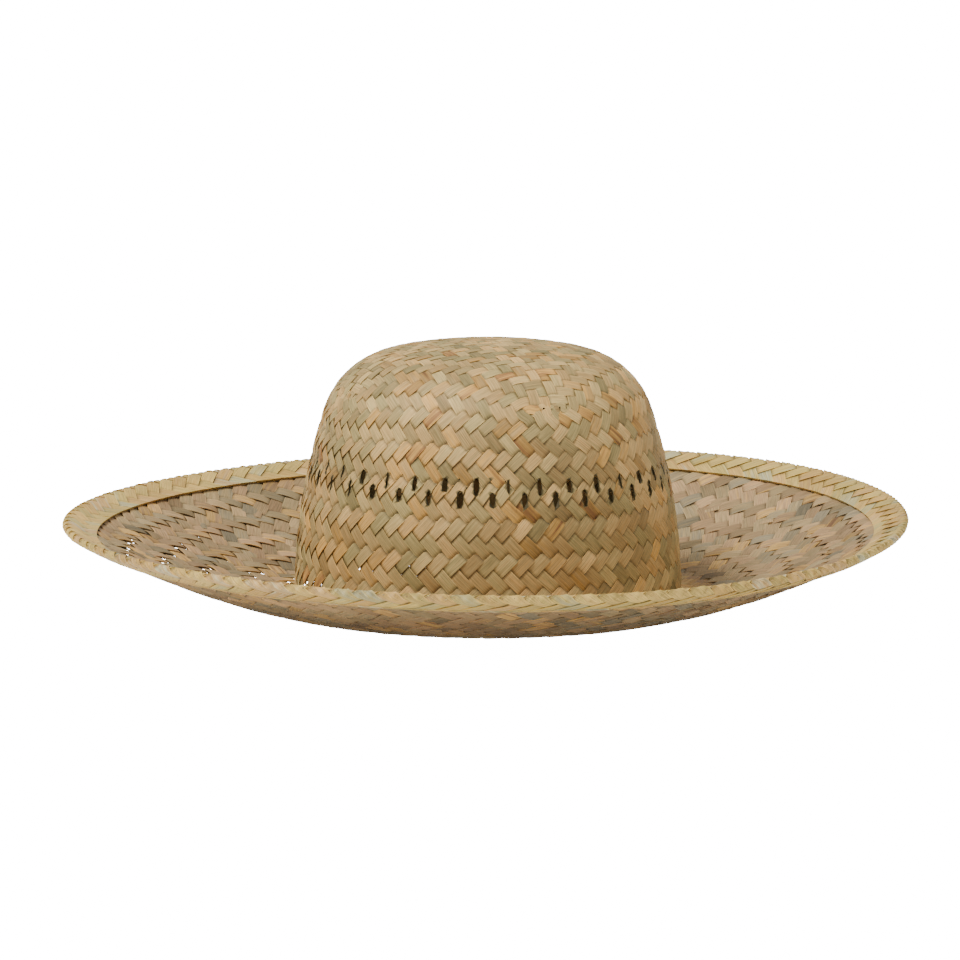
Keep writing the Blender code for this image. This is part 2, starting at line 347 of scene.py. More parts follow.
def brim_crossings():
    """Where the two sets cross on the brim: the strip of each set, and the row.

    The difference of two bearings falls steadily along the rows, and they cross where it is a whole turn.
    """
    (left, left_start), (right, right_start) = brim["left"], brim["right"]
    gap = left[:, None, :] - right[None, :, :]
    lefts, rights, at = np.nonzero(np.floor(gap[..., :-1]) != np.floor(gap[..., 1:]))
    before, after = gap[lefts, rights, at], gap[lefts, rights, at + 1]
    row = row_fine[at] + ROW_STEP * (before - np.ceil(after)) / (before - after)
    both = row >= np.maximum(left_start[lefts], right_start[rights])
    return lefts[both], rights[both], row[both]


def left_over(row):
    """+1 where the left-leaning strips lie on the outside, two rows in every four, else -1."""
    return np.where(np.rint(row) % 4 < 2, 1.0, -1.0)


crossing_left, crossing_right, crossing_row = brim_crossings()

# ---- The leaf strips ---------------------------------------------------------------------------------------
# Each strip is one split leaf, 5 to 6 mm wide and under half a millimetre thick, cut with straight edges.  It
# passes over two and under two of the strips that it crosses, so that it rises and dips by its own thickness.

STEPS = 5
STRIP_WIDTH, BRIM_STRIP_WIDTH, STRIP_THICKNESS = 6.0, 7.2, 0.42  # the widths are upper limits
COUNT_ROWS, COUNTS = (35.0, 38.5, 42.0, 45.5), (72, 96, 96, 120)
ACROSS = np.array([-1.0, 0.0, 1.0, 1.0, 0.0, -1.0])
OUTSIDE = np.array([1.0, 1.0, 1.0, -1.0, -1.0, -1.0])

# In mm, on the tight crown and on the looser brim: the rise and dip over and under, the arch of a float, the
# droop of its edges, and how far one edge stands up on its neighbour, which fades out at the mat's edge.
LOOSE_ROWS = (30.0, 34.0)
SWING = (0.4, 0.29)
ARCH = (0.2, 0.78)
BOW = (0.1, 0.16)
SHINGLE = (0.24, 0.18)
SHINGLE_FADES = (-8.0, -3.0, 3.0, 6.0)


def smooth_path(points):
    """Catmull-Rom through the crossings, sampled STEPS times between one and the next.

    With t from 0 to 1 between b and c, and their neighbours a and d:
    (2b + (c - a) t + (2a - 5b + 4c - d) t^2 + (3b - a - 3c + d) t^3) / 2.
    """
    ends = np.concatenate([[2 * points[0] - points[1]], points, [2 * points[-1] - points[-2]]])
    a, b, c, d = (ends[i : len(ends) - 3 + i, None] for i in range(4))
    t = np.arange(STEPS) / STEPS
    path = (2 * b + (c - a) * t + (2 * a - 5 * b + 4 * c - d) * t**2 + (3 * b - a - 3 * c + d) * t**3) / 2
    return np.append(path.ravel(), points[-1])


def wander(count, reach, size):
    """Smooth random values: normal numbers every reach samples, joined by straight lines."""
    knots = np.arange(0, count + reach, reach)
    return np.interp(np.arange(count), knots, chance.normal(0.0, size, len(knots)))


def across_hat(centre):
    """Unit steps square to a path on the hat, as plan vectors, and the path's length per sample in mm.

    The plan stretches the way round the hat by s / r, so the turn by a quarter is done at true lengths.
    """
    s, bearing = np.maximum(np.abs(centre), 1e-3), np.angle(centre)
    stretch = np.maximum(np.interp(s, line_s, line_r), 1e-3) / s
    way = np.gradient(centre) * np.exp(-1j * bearing)
    way = way.real + 1j * way.imag * stretch
    side = 1j * way / np.abs(way)
    return (side.real + 1j * side.imag / stretch) * np.exp(1j * bearing), np.abs(way)


STEEPNESS = 1.7  # a strip changes sides over 1 / 1.7 of the way between two crossings


def make_strip(centre, side, step, rows, crossing_at, over, width, lie=1.0):
    """One strip as a dict of arrays, all with one value for each sample along it.

    rows are the row numbers of its crossings.  crossing_at counts along the crossings, and over is +1 where the
    strip lies outside and -1 where it lies inside.  Between two changes a float arches up by 4 u (1 - u).  lie is
    +1 or -1 for the edge that lies on the neighbour, as tiles do.
    """
    along = np.arange(len(centre)) / STEPS
    row = np.interp(along, np.arange(len(rows)), rows)
    order = np.argsort(crossing_at)
    crossing_at, over = crossing_at[order], over[order]
    rise = np.sin(np.pi / 2 * np.clip(STEEPNESS * np.interp(along, crossing_at, over), -1, 1))
    float_number = np.cumsum(np.append(0, np.diff(over) != 0))
    nearest = np.searchsorted((crossing_at[:-1] + crossing_at[1:]) / 2, along)
    float_at = float_number[nearest]
    float_hue, float_shade = chance.random(float_number[-1] + 1), chance.random(float_number[-1] + 1)
    float_arch = chance.uniform(0.35, 1.25, float_number[-1] + 1)
    change = np.flatnonzero(np.diff(over))
    bounds = (crossing_at[change] + crossing_at[change + 1]) / 2
    bounds = np.concatenate([[crossing_at[0] - 0.5], bounds, [crossing_at[-1] + 0.5]])
    through = np.clip((along - bounds[float_at]) / (bounds[float_at + 1] - bounds[float_at]), 0, 1)
    arch = 4 * through * (1 - through) * float_arch[float_at] * np.maximum(over[nearest], 0)
    width = width * (1 + np.clip(wander(len(centre), 40, 0.02), -0.03, 0.02))
    shift = wander(len(centre), 15, 0.15)
    return {
        "row": row,
        "centre": centre + side * shift,
        "side": side * width / 2,
        "width": width,
        "rise": rise,
        "swing": np.interp(row, LOOSE_ROWS, SWING),
        "bow": np.interp(row, LOOSE_ROWS, BOW),
        "arch": arch * np.interp(row, LOOSE_ROWS, ARCH),
        "tilt": lie * np.interp(row, LOOSE_ROWS, SHINGLE) * np.interp(row, SHINGLE_FADES, (1, 0, 0, 1))
        + wander(len(centre), 10, 0.05),
        "mm": np.cumsum(step) + chance.random() * 4000,
        "hue": 0.5 * chance.random() + 0.5 * float_hue[float_at],
        "shade": 0.4 * chance.random() + 0.6 * float_shade[float_at],
    }


def row_room(row):
    """Room between strips in the regular rows: 1 / sqrt(1/u^2 + 1/v^2), u round the hat and v down it."""
    count = np.interp(row, COUNT_ROWS, COUNTS)
    across = 2 * np.pi * np.interp(row_distance(row), line_s, line_r) / count
    down = 2 * np.where(row > BASE_ROW, BRIM_ROW, WALL_ROW)
    room = 1 / np.sqrt(1 / across**2 + 1 / down**2)
    return np.minimum(room, np.where(row > BASE_ROW, BRIM_STRIP_WIDTH, STRIP_WIDTH))


# Neighbours overlap by a hair where the plait is tight.  They stand apart a little in the band with the vents and
# just above the head opening, where daylight shows through.
LOOSENING = (-4.0, -1.0, 2.5, 4.0, 9.0, 9.6, 14.4, 15.2, 20.0, 25.0, 27.0, 31.0, 52.0)
TIGHT = (1.02, 1.04, 1.04, 1.03, 1.03, 0.95, 0.95, 1.03, 1.02, 1.0, 1.0, 1.09, 1.13)

mat_runs = {"across": [], "along": []}
ring_runs = {"left": [], "right": []}


def strip_end(end_p, end_q, forward):
    """How a strip goes on below the mat: its set, its place in row 0, and its crossings from row 1 down.

    Seen from the side of the mat that it leaves, a strip heading to the right keeps leaning right.
    """
    corner = (end_p + end_q) / 2 + 1j * (end_p - end_q) / 2
    at = np.argmin(np.abs(rim - corner))
    lean = "right" if (forward * (-1j) ** side_zero[at]).real > 0 else "left"
    row = np.arange(1, FREE_ROWS)
    place = place_zero[at] + LEANS[lean] * row / 2
    free_ids = row_id[row, np.floor(place).astype(int) % ENDS]
    row = np.arange(FREE_ROWS, BASE_ROW)
    crown = np.concatenate([plan[free_ids], slipped(row_plan(row, place_zero[at] + LEANS[lean] * row / 2))])
    rooms = np.concatenate([room[free_ids], row_room(np.arange(FREE_ROWS, LAST_ROW + 1))])
    bearings = brim[lean][0][at, ::PER_ROW]
    row = np.arange(BASE_ROW, LAST_ROW + 1)
    outer = row_distance(row) * np.exp(1j * (2 * np.pi * bearings + np.radians(BEARING)))
    return lean, at, np.concatenate([crown, outer]), rooms


def brim_over(lean, number):
    """Rows of a strip's crossings on the brim, and whether it lies outside at each."""
    own, sign = (crossing_left, 1) if lean == "left" else (crossing_right, -1)
    row = crossing_row[own == number]
    return row, sign * left_over(row)


def plait_strip(fixed, swap):
    """A whole strip, from edge to edge over the tip.  fixed is its number in the mat."""
    others = np.arange(-(SIDE - abs(fixed)), SIDE - abs(fixed) + 1)
    p, q = (others, np.full(len(others), fixed)) if swap else (np.full(len(others), fixed), others)
    forward = 1 + 1j if swap else 1 - 1j
    i, j = np.rint(p + SIDE - 0.5).astype(int), np.rint(q + SIDE - 0.5).astype(int)
    middle = plan[mat_id[i, j]]
    row_here = np.abs(p) + np.abs(q) - SIDE
    upright = np.abs(p - q) > np.abs(p + q)
    over = np.where(upright == swap, 1.0, -1.0) * left_over(row_here)
    head = strip_end(p[0], q[0], -forward)
    tail = strip_end(p[-1], q[-1], forward)
    points = np.concatenate([head[2][::-1], middle, tail[2]])
    down = np.arange(1, LAST_ROW + 1)
    rows = np.concatenate([down[::-1], row_here, down])
    zero, last = LAST_ROW, LAST_ROW + len(others) - 1
    at, overs = [zero + np.arange(len(others))], [over]
    for (lean, number, *_), start, way in ((head, zero, -1), (tail, last, 1)):
        upper = np.arange(1, BASE_ROW)
        sign = 1 if lean == "left" else -1
        lower, lower_over = brim_over(lean, number)
        keep = lower > BASE_ROW - 0.5
        at += [start + way * upper, start + way * lower[keep]]
        overs += [sign * left_over(upper), lower_over[keep]]
    centre = smooth_path(points)
    rooms = np.concatenate([head[3][::-1], room[mat_id[i, j]], tail[3]])
    along = np.arange(len(centre)) / STEPS
    width = chance.uniform(0.96, 1.03) * np.interp(along, np.arange(len(rooms)), rooms)
    width = width * np.interp(np.interp(along, np.arange(len(rows)), rows), LOOSENING, TIGHT)
    lie = np.interp(along, (zero, last), (-1, 1))
    strip = make_strip(
        centre, *across_hat(centre), rows, np.concatenate(at), np.concatenate(overs), width, lie
    )
    first, second = zero * STEPS, last * STEPS

    def stretch(start, stop):
        return {key: value[start:stop] for key, value in strip.items()}

    mat_runs["along" if swap else "across"].append(stretch(first, second + 1))
    ring_runs[head[0]].append(stretch(0, first + 1))
    ring_runs[tail[0]].append(stretch(second, None))


for number in half:
    plait_strip(number, False)
    plait_strip(number, True)


def laid_in_strip(lean, number, start):
    """A strip that starts in the brim, tucked under the strips that cross it."""
    rows = np.arange(int(start), LAST_ROW + 1)
    bearings = brim[lean][0][number, ::PER_ROW][rows - BASE_ROW]
    points = row_distance(rows) * np.exp(1j * (2 * np.pi * bearings + np.radians(BEARING)))
    row, over = brim_over(lean, number)
    centre = smooth_path(points)
    row_here = np.arange(len(centre)) / STEPS + rows[0]
    width = chance.uniform(1.03, 1.12) * np.interp(row_here, rows, row_room(rows))
    ring_runs[lean].append(make_strip(centre, *across_hat(centre), rows, row - rows[0], over, width))


for lean, (_, starts) in brim.items():
    for number in range(ENDS, len(starts)):
        laid_in_strip(lean, number, starts[number])


def between(runs, low, high):
    """The stretches of the strips that lie between two rows."""
    cut = []
    for run in runs:
        inside = np.flatnonzero((run["row"] >= low - 1e-6) & (run["row"] <= high + 1e-6))
        if len(inside) > 1:
            cut.append({key: value[inside[0] : inside[-1] + 1] for key, value in run.items()})
    return cut


def strip_faces(count):
    """Faces of a six-sided tube with count rings, closed by two quads at each end, facing out."""
    ring = np.arange(6)
    base = 6 * np.arange(count - 1)[:, None]
    wall = np.stack([base + ring, base + 6 + ring, base + 6 + (ring + 1) % 6, base + (ring + 1) % 6], -1)
    cap = np.array([[0, 1, 4, 5], [1, 2, 3, 4]])
    return np.concatenate([wall.reshape(-1, 4), cap, cap[:, ::-1] + 6 * (count - 1)])


def plaited(name, runs, lay=on_hat, thickness=STRIP_THICKNESS):
    """One mesh of many strips.

    A section has three points on the strip's outside and three on its inside, at -1, 0 and 1 half widths:
    lift = swing rise + half thickness - bow across^2 + tilt across.
    """
    points, faces, across_mm, along_mm, tints, first = [], [], [], [], [], 0
    for run in runs:
        plan_points = run["centre"][:, None] + run["side"][:, None] * ACROSS
        lift = (run["swing"] * run["rise"] + run["arch"])[:, None] + OUTSIDE * thickness / 2
        lift = lift + run["tilt"][:, None] * ACROSS - run["bow"][:, None] * ACROSS**2
        count = len(run["rise"])
        points.append(lay(plan_points, lift).reshape(-1, 3))
        faces.append(strip_faces(count) + first)
        across_mm.append((run["width"][:, None] / 2 * ACROSS).ravel())
        along_mm.append(np.repeat(run["mm"], 6))
        # The leaf finish reads these: hue and shade give each float its own tone, rise places painted shade where
        # the strip passes under, and |across| places a painted highlight along its edges.
        tint = np.repeat(np.stack([run["hue"], run["shade"], run["rise"]]), 6, axis=1)
        tints.append(np.concatenate([tint, np.tile(np.abs(ACROSS), count)[None]]))
        first += 6 * count
    faces = np.concatenate(faces)
    mesh = bpy.data.meshes.new(name)
    mesh.from_pydata(np.concatenate(points) * MM, [], faces)
    uv = mesh.uv_layers.new(name="strip")
    flat = np.stack([np.concatenate(across_mm), np.concatenate(along_mm)], 1)
    uv.data.foreach_set("uv", flat[faces.ravel()].ravel())
    for key, values in zip(("hue", "shade", "rise", "edge"), np.concatenate(tints, 1)):
        mesh.attributes.new(key, "FLOAT", "POINT").data.foreach_set("value", values)
    mesh.shade_smooth()
    mesh.set_sharp_from_angle(angle=np.radians(35))
    piece = bpy.data.objects.new(name, mesh)
    bpy.context.scene.collection.objects.link(piece)
    return piece


def linear(hex_colour):
    """sRGB hex to linear: c / 12.92 below 0.04045, else ((c + 0.055) / 1.055)^2.4."""
    value = np.array([int(hex_colour[i : i + 2], 16) for i in (0, 2, 4)]) / 255
    return (*np.where(value <= 0.04045, value / 12.92, ((value + 0.055) / 1.055) ** 2.4), 1.0)


def add(tree, kind, links=None, **settings):
    """Adds a node.  links maps a socket's name or number to a constant or to another node's output."""
    made = tree.nodes.new(kind)
    for name, value in settings.items():
        setattr(made, name, value)
    for socket, value in (links or {}).items():
        if isinstance(value, bpy.types.NodeSocket):
            tree.links.new(value, made.inputs[socket])
        else:
            made.inputs[socket].default_value = value
    return made


def leaf(name, stops, dark=0.58, light=1.4, grain_depth=0.1, roughness=0.6, painted_tuck_shade=0.42):
    """Dried leaf: its colour runs through the stops from float to float, with a fine grain along the strip. It is
    painted darker where a strip passes under a crossing strip (painted shade) and lighter along the strip's two
    edges (painted highlight).
    """
    finish = bpy.data.materials.new(name)
    finish.use_nodes = True
    tree = finish.node_tree
    shader = tree.nodes["Principled BSDF"]
    hue = add(tree, "ShaderNodeAttribute", attribute_name="hue").outputs["Fac"]
    shade = add(tree, "ShaderNodeAttribute", attribute_name="shade").outputs["Fac"]
    rise = add(tree, "ShaderNodeAttribute", attribute_name="rise").outputs["Fac"]
    strip = add(tree, "ShaderNodeUVMap", uv_map="strip").outputs["UV"]
    edge = add(tree, "ShaderNodeAttribute", attribute_name="edge").outputs["Fac"]
    place = add(tree, "ShaderNodeTexCoord").outputs["Object"]

    # Streaks half a millimetre wide and some 12 mm long.  Real leaf fibres are finer than can be seen here.
    streaks = add(tree, "ShaderNodeMapping", {"Vector": strip, "Scale": (2.0, 0.08, 1.0)}).outputs[0]
    fine = add(tree, "ShaderNodeTexNoise", {"Vector": streaks, "Scale": 1.0, "Detail": 2.0}).outputs[0]
    bands = add(tree, "ShaderNodeMapping", {"Vector": strip, "Scale": (0.5, 0.035, 1.0)}).outputs[0]
    broad = add(tree, "ShaderNodeTexNoise", {"Vector": bands, "Scale": 1.0, "Detail": 1.0}).outputs[0]
    patch = add(tree, "ShaderNodeTexNoise", {"Vector": place, "Scale": 35.0, "Detail": 2.0}).outputs[0]

    drift = add(tree, "ShaderNodeMath", {0: broad, 1: -0.5}, operation="ADD").outputs[0]
    drift = add(tree, "ShaderNodeMath", {0: drift, 1: 0.6, 2: hue}, operation="MULTIPLY_ADD").outputs[0]
    ramp = add(tree, "ShaderNodeValToRGB", {"Fac": drift})
    elements = ramp.color_ramp.elements
    while len(elements) < len(stops):
        elements.new(0.5)
    for element, (position, colour) in zip(elements, stops):
        element.position, element.color = position, linear(colour)

    bright = add(
        tree,
        "ShaderNodeMapRange",
        {"Value": shade, "To Min": dark, "To Max": light},
    ).outputs[0]
    worn = add(
        tree,
        "ShaderNodeMapRange",
        {"Value": patch, "From Min": 0.3, "From Max": 0.7, "To Min": 0.9, "To Max": 1.06},
    ).outputs[0]
    veins = add(
        tree,
        "ShaderNodeMapRange",
        {"Value": fine, "From Min": 0.3, "From Max": 0.7, "To Min": 0.66, "To Max": 1.2},
    ).outputs[0]
    # Painted shade: the strip is darkened where it passes under a crossing strip, from full colour at |rise| 0.95
    # down to the tuck factor at 0.1.
    level = add(tree, "ShaderNodeMath", {0: rise}, operation="ABSOLUTE").outputs[0]
    tucked = add(
        tree,
        "ShaderNodeMapRange",
        {"Value": level, "From Min": 0.1, "From Max": 0.95, "To Min": painted_tuck_shade, "To Max": 1.0},
    ).outputs[0]
    # Painted highlight: the strip is made up to 1.3 times lighter at its two long edges, as if their cut faces
    # caught the light.
    painted_edge_highlight = add(
        tree,
        "ShaderNodeMapRange",
        {"Value": edge, "From Min": 0.86, "From Max": 0.98, "To Min": 1.0, "To Max": 1.3},
    ).outputs[0]
    value = add(tree, "ShaderNodeMath", {0: bright, 1: worn}, operation="MULTIPLY").outputs[0]
    value = add(tree, "ShaderNodeMath", {0: value, 1: painted_edge_highlight}, operation="MULTIPLY").outputs[0]
    value = add(tree, "ShaderNodeMath", {0: value, 1: veins}, operation="MULTIPLY").outputs[0]
    value = add(tree, "ShaderNodeMath", {0: value, 1: tucked}, operation="MULTIPLY").outputs[0]
    colour = add(
        tree, "ShaderNodeVectorMath", {0: ramp.outputs["Color"], "Scale": value}, operation="SCALE"
    ).outputs[0]
    tree.links.new(colour, shader.inputs["Base Color"])
    dull = add(
        tree,
        "ShaderNodeMapRange",
        {"Value": fine, "To Min": roughness + 0.12, "To Max": roughness - 0.1},
    ).outputs[0]
    tree.links.new(dull, shader.inputs["Roughness"])
    ridges = add(
        tree, "ShaderNodeBump", {"Height": fine, "Strength": 1.0, "Distance": grain_depth * MM}
    ).outputs[0]
    tree.links.new(ridges, shader.inputs["Normal"])
    shader.inputs["Specular IOR Level"].default_value = 0.22
    return finish


# Sun-dried leaf, matt and grained along the strip: mostly tan, some strips still grey-green, some orange where
# they were ripe, a few brown.
crown_leaf = leaf(
    "dried_leaf_crown",
    [
        (0.1, "9a8857"),
        (0.3, "ac945f"),
        (0.5, "b5965f"),
        (0.7, "bb965c"),
        (0.86, "c4974f"),
        (1.0, "956a3c"),
    ],
)


def finished(piece, finish, node):
    """Gives a piece its finish and says which CAD node it stands for."""
    piece.data.materials.append(finish)
    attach(piece, "root")
    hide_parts(node)
    return piece


# ---- Crown: the square mat on the tip ----------------------------------------------------------------------
# Two sets of 36 strips are crossed at right angles into a square, the start of the whole hat.  Seen from the front
# its strips stand at 22 degrees to the hat's sides, and its corners are where the shoulder's strips part.

for name, runs in mat_runs.items():
    piece = plaited(f"crown_tip_mat_strips_{name}", runs)
    finished(piece, crown_leaf, "crown_tip_mat")

# ---- Crown: shoulder and wall ------------------------------------------------------------------------------
# The same strips, wetted and pulled down over the block.  They cross ever further apart as the crown widens, and
# the plait holds them with no thread or glue.  The shoulder ends at the vents and the wall at the head opening.

VENT_BAND = (9.4, 14.6)
OPENING = 27.4
for lean, runs in ring_runs.items():
    piece = plaited(f"crown_shoulder_strips_{lean}", between(runs, 0, VENT_BAND[0]))
    finished(piece, crown_leaf, "crown_shoulder_weave")
    piece = plaited(f"crown_wall_strips_{lean}", between(runs, VENT_BAND[1], OPENING))
    finished(piece, crown_leaf, "crown_wall_weave")

# ---- Crown: the band with the vents ------------------------------------------------------------------------
# Two rows of 36 upright slots, made by parting the strips with an awl in every second hole of a row.  The strips
# beside a slot bend round it.  The wetted leaf keeps its bend when it dries.

VENT_ROWS = (11, 13)
VENTS = 36
VENT_REACH = 7.7  # how far to each side the strips make way
VENT_DROP = 1.8
SLIT = 0.12
SLOT_SQUARENESS = 0.22  # 0.5 would give an ellipse
WALL_REACH = 5.0
vent_half_height = chance.uniform(3.2, 4.3, (2, VENTS))
vent_half_width = chance.choice([0.5, 1.0, 1.25, 1.45], (2, VENTS), p=[0.2, 0.25, 0.35, 0.2])


def vent_place(row):
    """Distance from the tip and bearing of a row's first vent.  The vents are 360 / 36 degrees apart."""
    first, drop = (0.5, VENT_DROP) if row == VENT_ROWS[0] else (1.5, 0.0)
    return row_distance(row) + drop, 2 * np.pi * first / ENDS + np.radians(BEARING)


def slit_cutters():
    """Thin upright wedges through the wall, one for each vent: a rhombus carried from inside to outside."""
    mesh = bpy.data.meshes.new("slit_cutters")
    points, faces = [], []
    around = np.array([0, 1j, 0, -1j]) * SLIT
    down = np.array([-1, 0, 1, 0])
    box = np.array([(0, 1, 2, 3), (7, 6, 5, 4), (0, 4, 5, 1), (1, 5, 6, 2), (2, 6, 7, 3), (3, 7, 4, 0)])
    for heights, row in zip(vent_half_height, VENT_ROWS):
        s, first = vent_place(row)
        radius = np.interp(s, line_s, line_r)
        for number, height in enumerate(heights):
            centre = np.exp(1j * (first + 2 * np.pi * number / VENTS))
            plan_points = slipped((s + down * height) * centre * np.exp(around / radius))
            base = 8 * len(faces) // 6
            points += [on_hat(plan_points, -WALL_REACH), on_hat(plan_points, WALL_REACH)]
            faces += (box + base).tolist()
    mesh.from_pydata(np.concatenate(points) * MM, [], faces)
    cutter = bpy.data.objects.new("slit_cutters", mesh)
    bpy.context.scene.collection.objects.link(cutter)
    return cutter


def part_strips(mesh):
    """Opens slits into slots: x moves by half width (1 - (y / height)^2)^squareness (1 - |x| / reach)^2."""
    points = np.empty(3 * len(mesh.vertices), np.float32)
    mesh.vertices.foreach_get("co", points)
    points = points.reshape(-1, 3).astype(float) / MM - (OFF_CENTRE, 0, 0)
    radius, bearing = np.hypot(points[:, 0], points[:, 1]), np.arctan2(points[:, 1], points[:, 0])
    wall_part = (line_s > WALL_START) & (line_s < BRIM_START)
    s = np.interp(-points[:, 2], -line_z[wall_part], line_s[wall_part])
    pushed = np.zeros(len(points))
    for heights, widths, row in zip(vent_half_height, vent_half_width, VENT_ROWS):
        vent_s, first = vent_place(row)
        turn_here = (bearing - first) * VENTS / (2 * np.pi)
        number = np.rint(turn_here).astype(int)
        x = (turn_here - number) * 2 * np.pi / VENTS * radius
        vent_at = np.abs(slipped(vent_s * np.exp(1j * (first + number * 2 * np.pi / VENTS))))
        y = (s - vent_at) / heights[number % VENTS]
        slot = widths[number % VENTS] * np.clip(1 - y**2, 0, None) ** SLOT_SQUARENESS
        pushed += np.sign(x) * slot * np.clip(1 - np.abs(x) / VENT_REACH, 0, None) ** 2
    bearing = bearing + pushed / radius
    points[:, 0], points[:, 1] = radius * np.cos(bearing), radius * np.sin(bearing)
    mesh.vertices.foreach_set("co", ((points + (OFF_CENTRE, 0, 0)) * MM).ravel())
    mesh.update()


cutter = slit_cutters()
for lean, runs in ring_runs.items():
    piece = plaited(f"crown_vent_band_strips_{lean}", between(runs, *VENT_BAND))
    cut = piece.modifiers.new("slits", "BOOLEAN")
    cut.operation, cut.solver, cut.object = "DIFFERENCE", "EXACT", cutter
    cut.use_self = True  # the strips of a set overlap each other by a hair
    evaluated = piece.evaluated_get(bpy.context.evaluated_depsgraph_get())
    whole = piece.data
    piece.data = bpy.data.meshes.new_from_object(evaluated)
    piece.modifiers.clear()
    bpy.data.meshes.remove(whole)
    part_strips(piece.data)
    piece.data.name = piece.name
    piece.data.set_sharp_from_angle(angle=np.radians(35))
    finished(piece, crown_leaf, "crown_vent_band")
bpy.data.objects.remove(cutter, do_unlink=True)

# ---- Head opening ------------------------------------------------------------------------------------------
# The strips turn outward round the foot of the block without a break.  The turn was pressed into the wet leaf,
# and its lowest ring is what the hat rests on.

BRIM_FROM = 30.4
for lean, runs in ring_runs.items():
    piece = plaited(f"head_opening_strips_{lean}", between(runs, OPENING, BRIM_FROM))
    finished(piece, crown_leaf, "head_opening_turn")

# ---- Brim --------------------------------------------------------------------------------------------------
# The strips run on out to the edge, plaited more loosely, and new ones are laid in twice as the brim widens.  A
# new strip is held only by the strips that cross it.  The ends lie inside the edge braid.

# The same leaf, a little greyer and browner. Its floats stand up more, and the shade painted where a strip passes
# under another is deeper.
brim_leaf = leaf(
    "dried_leaf_brim",
    [
        (0.1, "897c60"),
        (0.3, "9b855c"),
        (0.5, "a3875e"),
        (0.7, "a6845d"),
        (0.84, "c29b57"),
        (1.0, "8c6642"),
    ],
    dark=0.55,
    light=1.34,
    painted_tuck_shade=0.35,
)
MIDDLE_FROM, OUTER_FROM = ADDING_ROWS
for lean, runs in ring_runs.items():
    for stage, low, high in (
        ("inner", BRIM_FROM, MIDDLE_FROM),
        ("middle", MIDDLE_FROM, OUTER_FROM),
        ("outer", OUTER_FROM, LAST_ROW),
    ):
        piece = plaited(f"brim_{stage}_strips_{lean}", between(runs, low, high))
        finished(piece, brim_leaf, f"brim_{stage}_weave")

# ---- Edge core ---------------------------------------------------------------------------------------------
# A thin split cane lies in the fold of the edge braid and keeps the edge round.  It is bent green and its ends
# overlap, so that it shows as one ring.


def ring_mesh(name, round_hat, section):
    """A closed ring: the point at bearing b and section angle a is edge + core radius (cos a, sin a)."""
    bearings, angles = (2 * np.pi * np.arange(count) / count for count in (round_hat, section))
    bearing, angle = np.meshgrid(bearings, angles, indexing="ij")
    radius = edge_radius + core_radius * np.cos(angle)
    height = edge_height + core_radius * np.sin(angle) + sway(bearing, edge_radius)
    points = np.stack([radius * np.cos(bearing), radius * np.sin(bearing), height], -1)
    here = np.arange(round_hat * section).reshape(round_hat, section)
    ahead, above = np.roll(here, -1, 0), np.roll(here, -1, 1)
    faces = np.stack([here, ahead, np.roll(ahead, -1, 1), above], -1)
    mesh = bpy.data.meshes.new(name)
    mesh.from_pydata(points.reshape(-1, 3) * MM, [], faces.reshape(-1, 4))
    mesh.shade_smooth()
    piece = bpy.data.objects.new(name, mesh)
    bpy.context.scene.collection.objects.link(piece)
    return piece


# Split cane with its skin on: straw-coloured, smooth, with darker flecks 8 mm apart.
cane = bpy.data.materials.new("split_cane")
cane.use_nodes = True
shader = cane.node_tree.nodes["Principled BSDF"]
place = add(cane.node_tree, "ShaderNodeTexCoord").outputs["Object"]
fibre = add(cane.node_tree, "ShaderNodeTexNoise", {"Vector": place, "Scale": 120.0, "Detail": 3.0})
tone = add(cane.node_tree, "ShaderNodeValToRGB", {"Fac": fibre.outputs[0]})
tone.color_ramp.elements[0].color = linear("a5874f")
tone.color_ramp.elements[1].color = linear("c9ad74")
cane.node_tree.links.new(tone.outputs["Color"], shader.inputs["Base Color"])
shader.inputs["Roughness"].default_value = 0.5
finished(ring_mesh("edge_core_cane", 240, 12), cane, "edge_core")

# ---- Edge braid --------------------------------------------------------------------------------------------
# A flat braid of smooth pale strips, 36 mm wide and folded lengthwise over the edge of the brim and the cane.  It
# shows two columns of slanted floats on top, the fold, and the same below, and is sewn down at its two edges.

BRAID_OFFSET = 1.5  # from the brim's middle to the braid's
BRAID_ROWS, BRAID_ROW = 8, 4.5
BRAID_PLACES = 116
BRAID_WIDTH = BRAID_ROWS * BRAID_ROW
flat_run = (BRAID_WIDTH - np.pi * BRAID_OFFSET) / 2
edge_slope = np.interp(edge_s, line_s, line_slope)


def fold_line():
    """The braid's section, as (r, z, slope) at even steps of w across the braid.

    In along the top of the brim at BRAID_OFFSET above its line, half a circle round the edge, and back below it.
    """
    across = np.arange(0.0, BRAID_WIDTH + 0.05, 0.1)
    turned = np.clip((across - flat_run) / BRAID_OFFSET, 0.0, np.pi)
    inward = np.where(across < BRAID_WIDTH / 2, flat_run - across, across - (BRAID_WIDTH - flat_run))
    s = edge_s - np.maximum(inward, 0.0)
    own_slope = np.interp(s, line_s, line_slope)
    slope = own_slope - turned
    radius = np.interp(s, line_s, line_r) - BRAID_OFFSET * np.sin(slope)
    height = np.interp(s, line_s, line_z) + BRAID_OFFSET * np.cos(slope)
    return across, radius, height, slope


fold_w, fold_r, fold_z, fold_slope = fold_line()


LIP, SEWN_DOWN, EDGE_REACH = 0.45, 0.4, 4.0
FLOAT_TILT = {-1: 0.2, 1: 0.02}


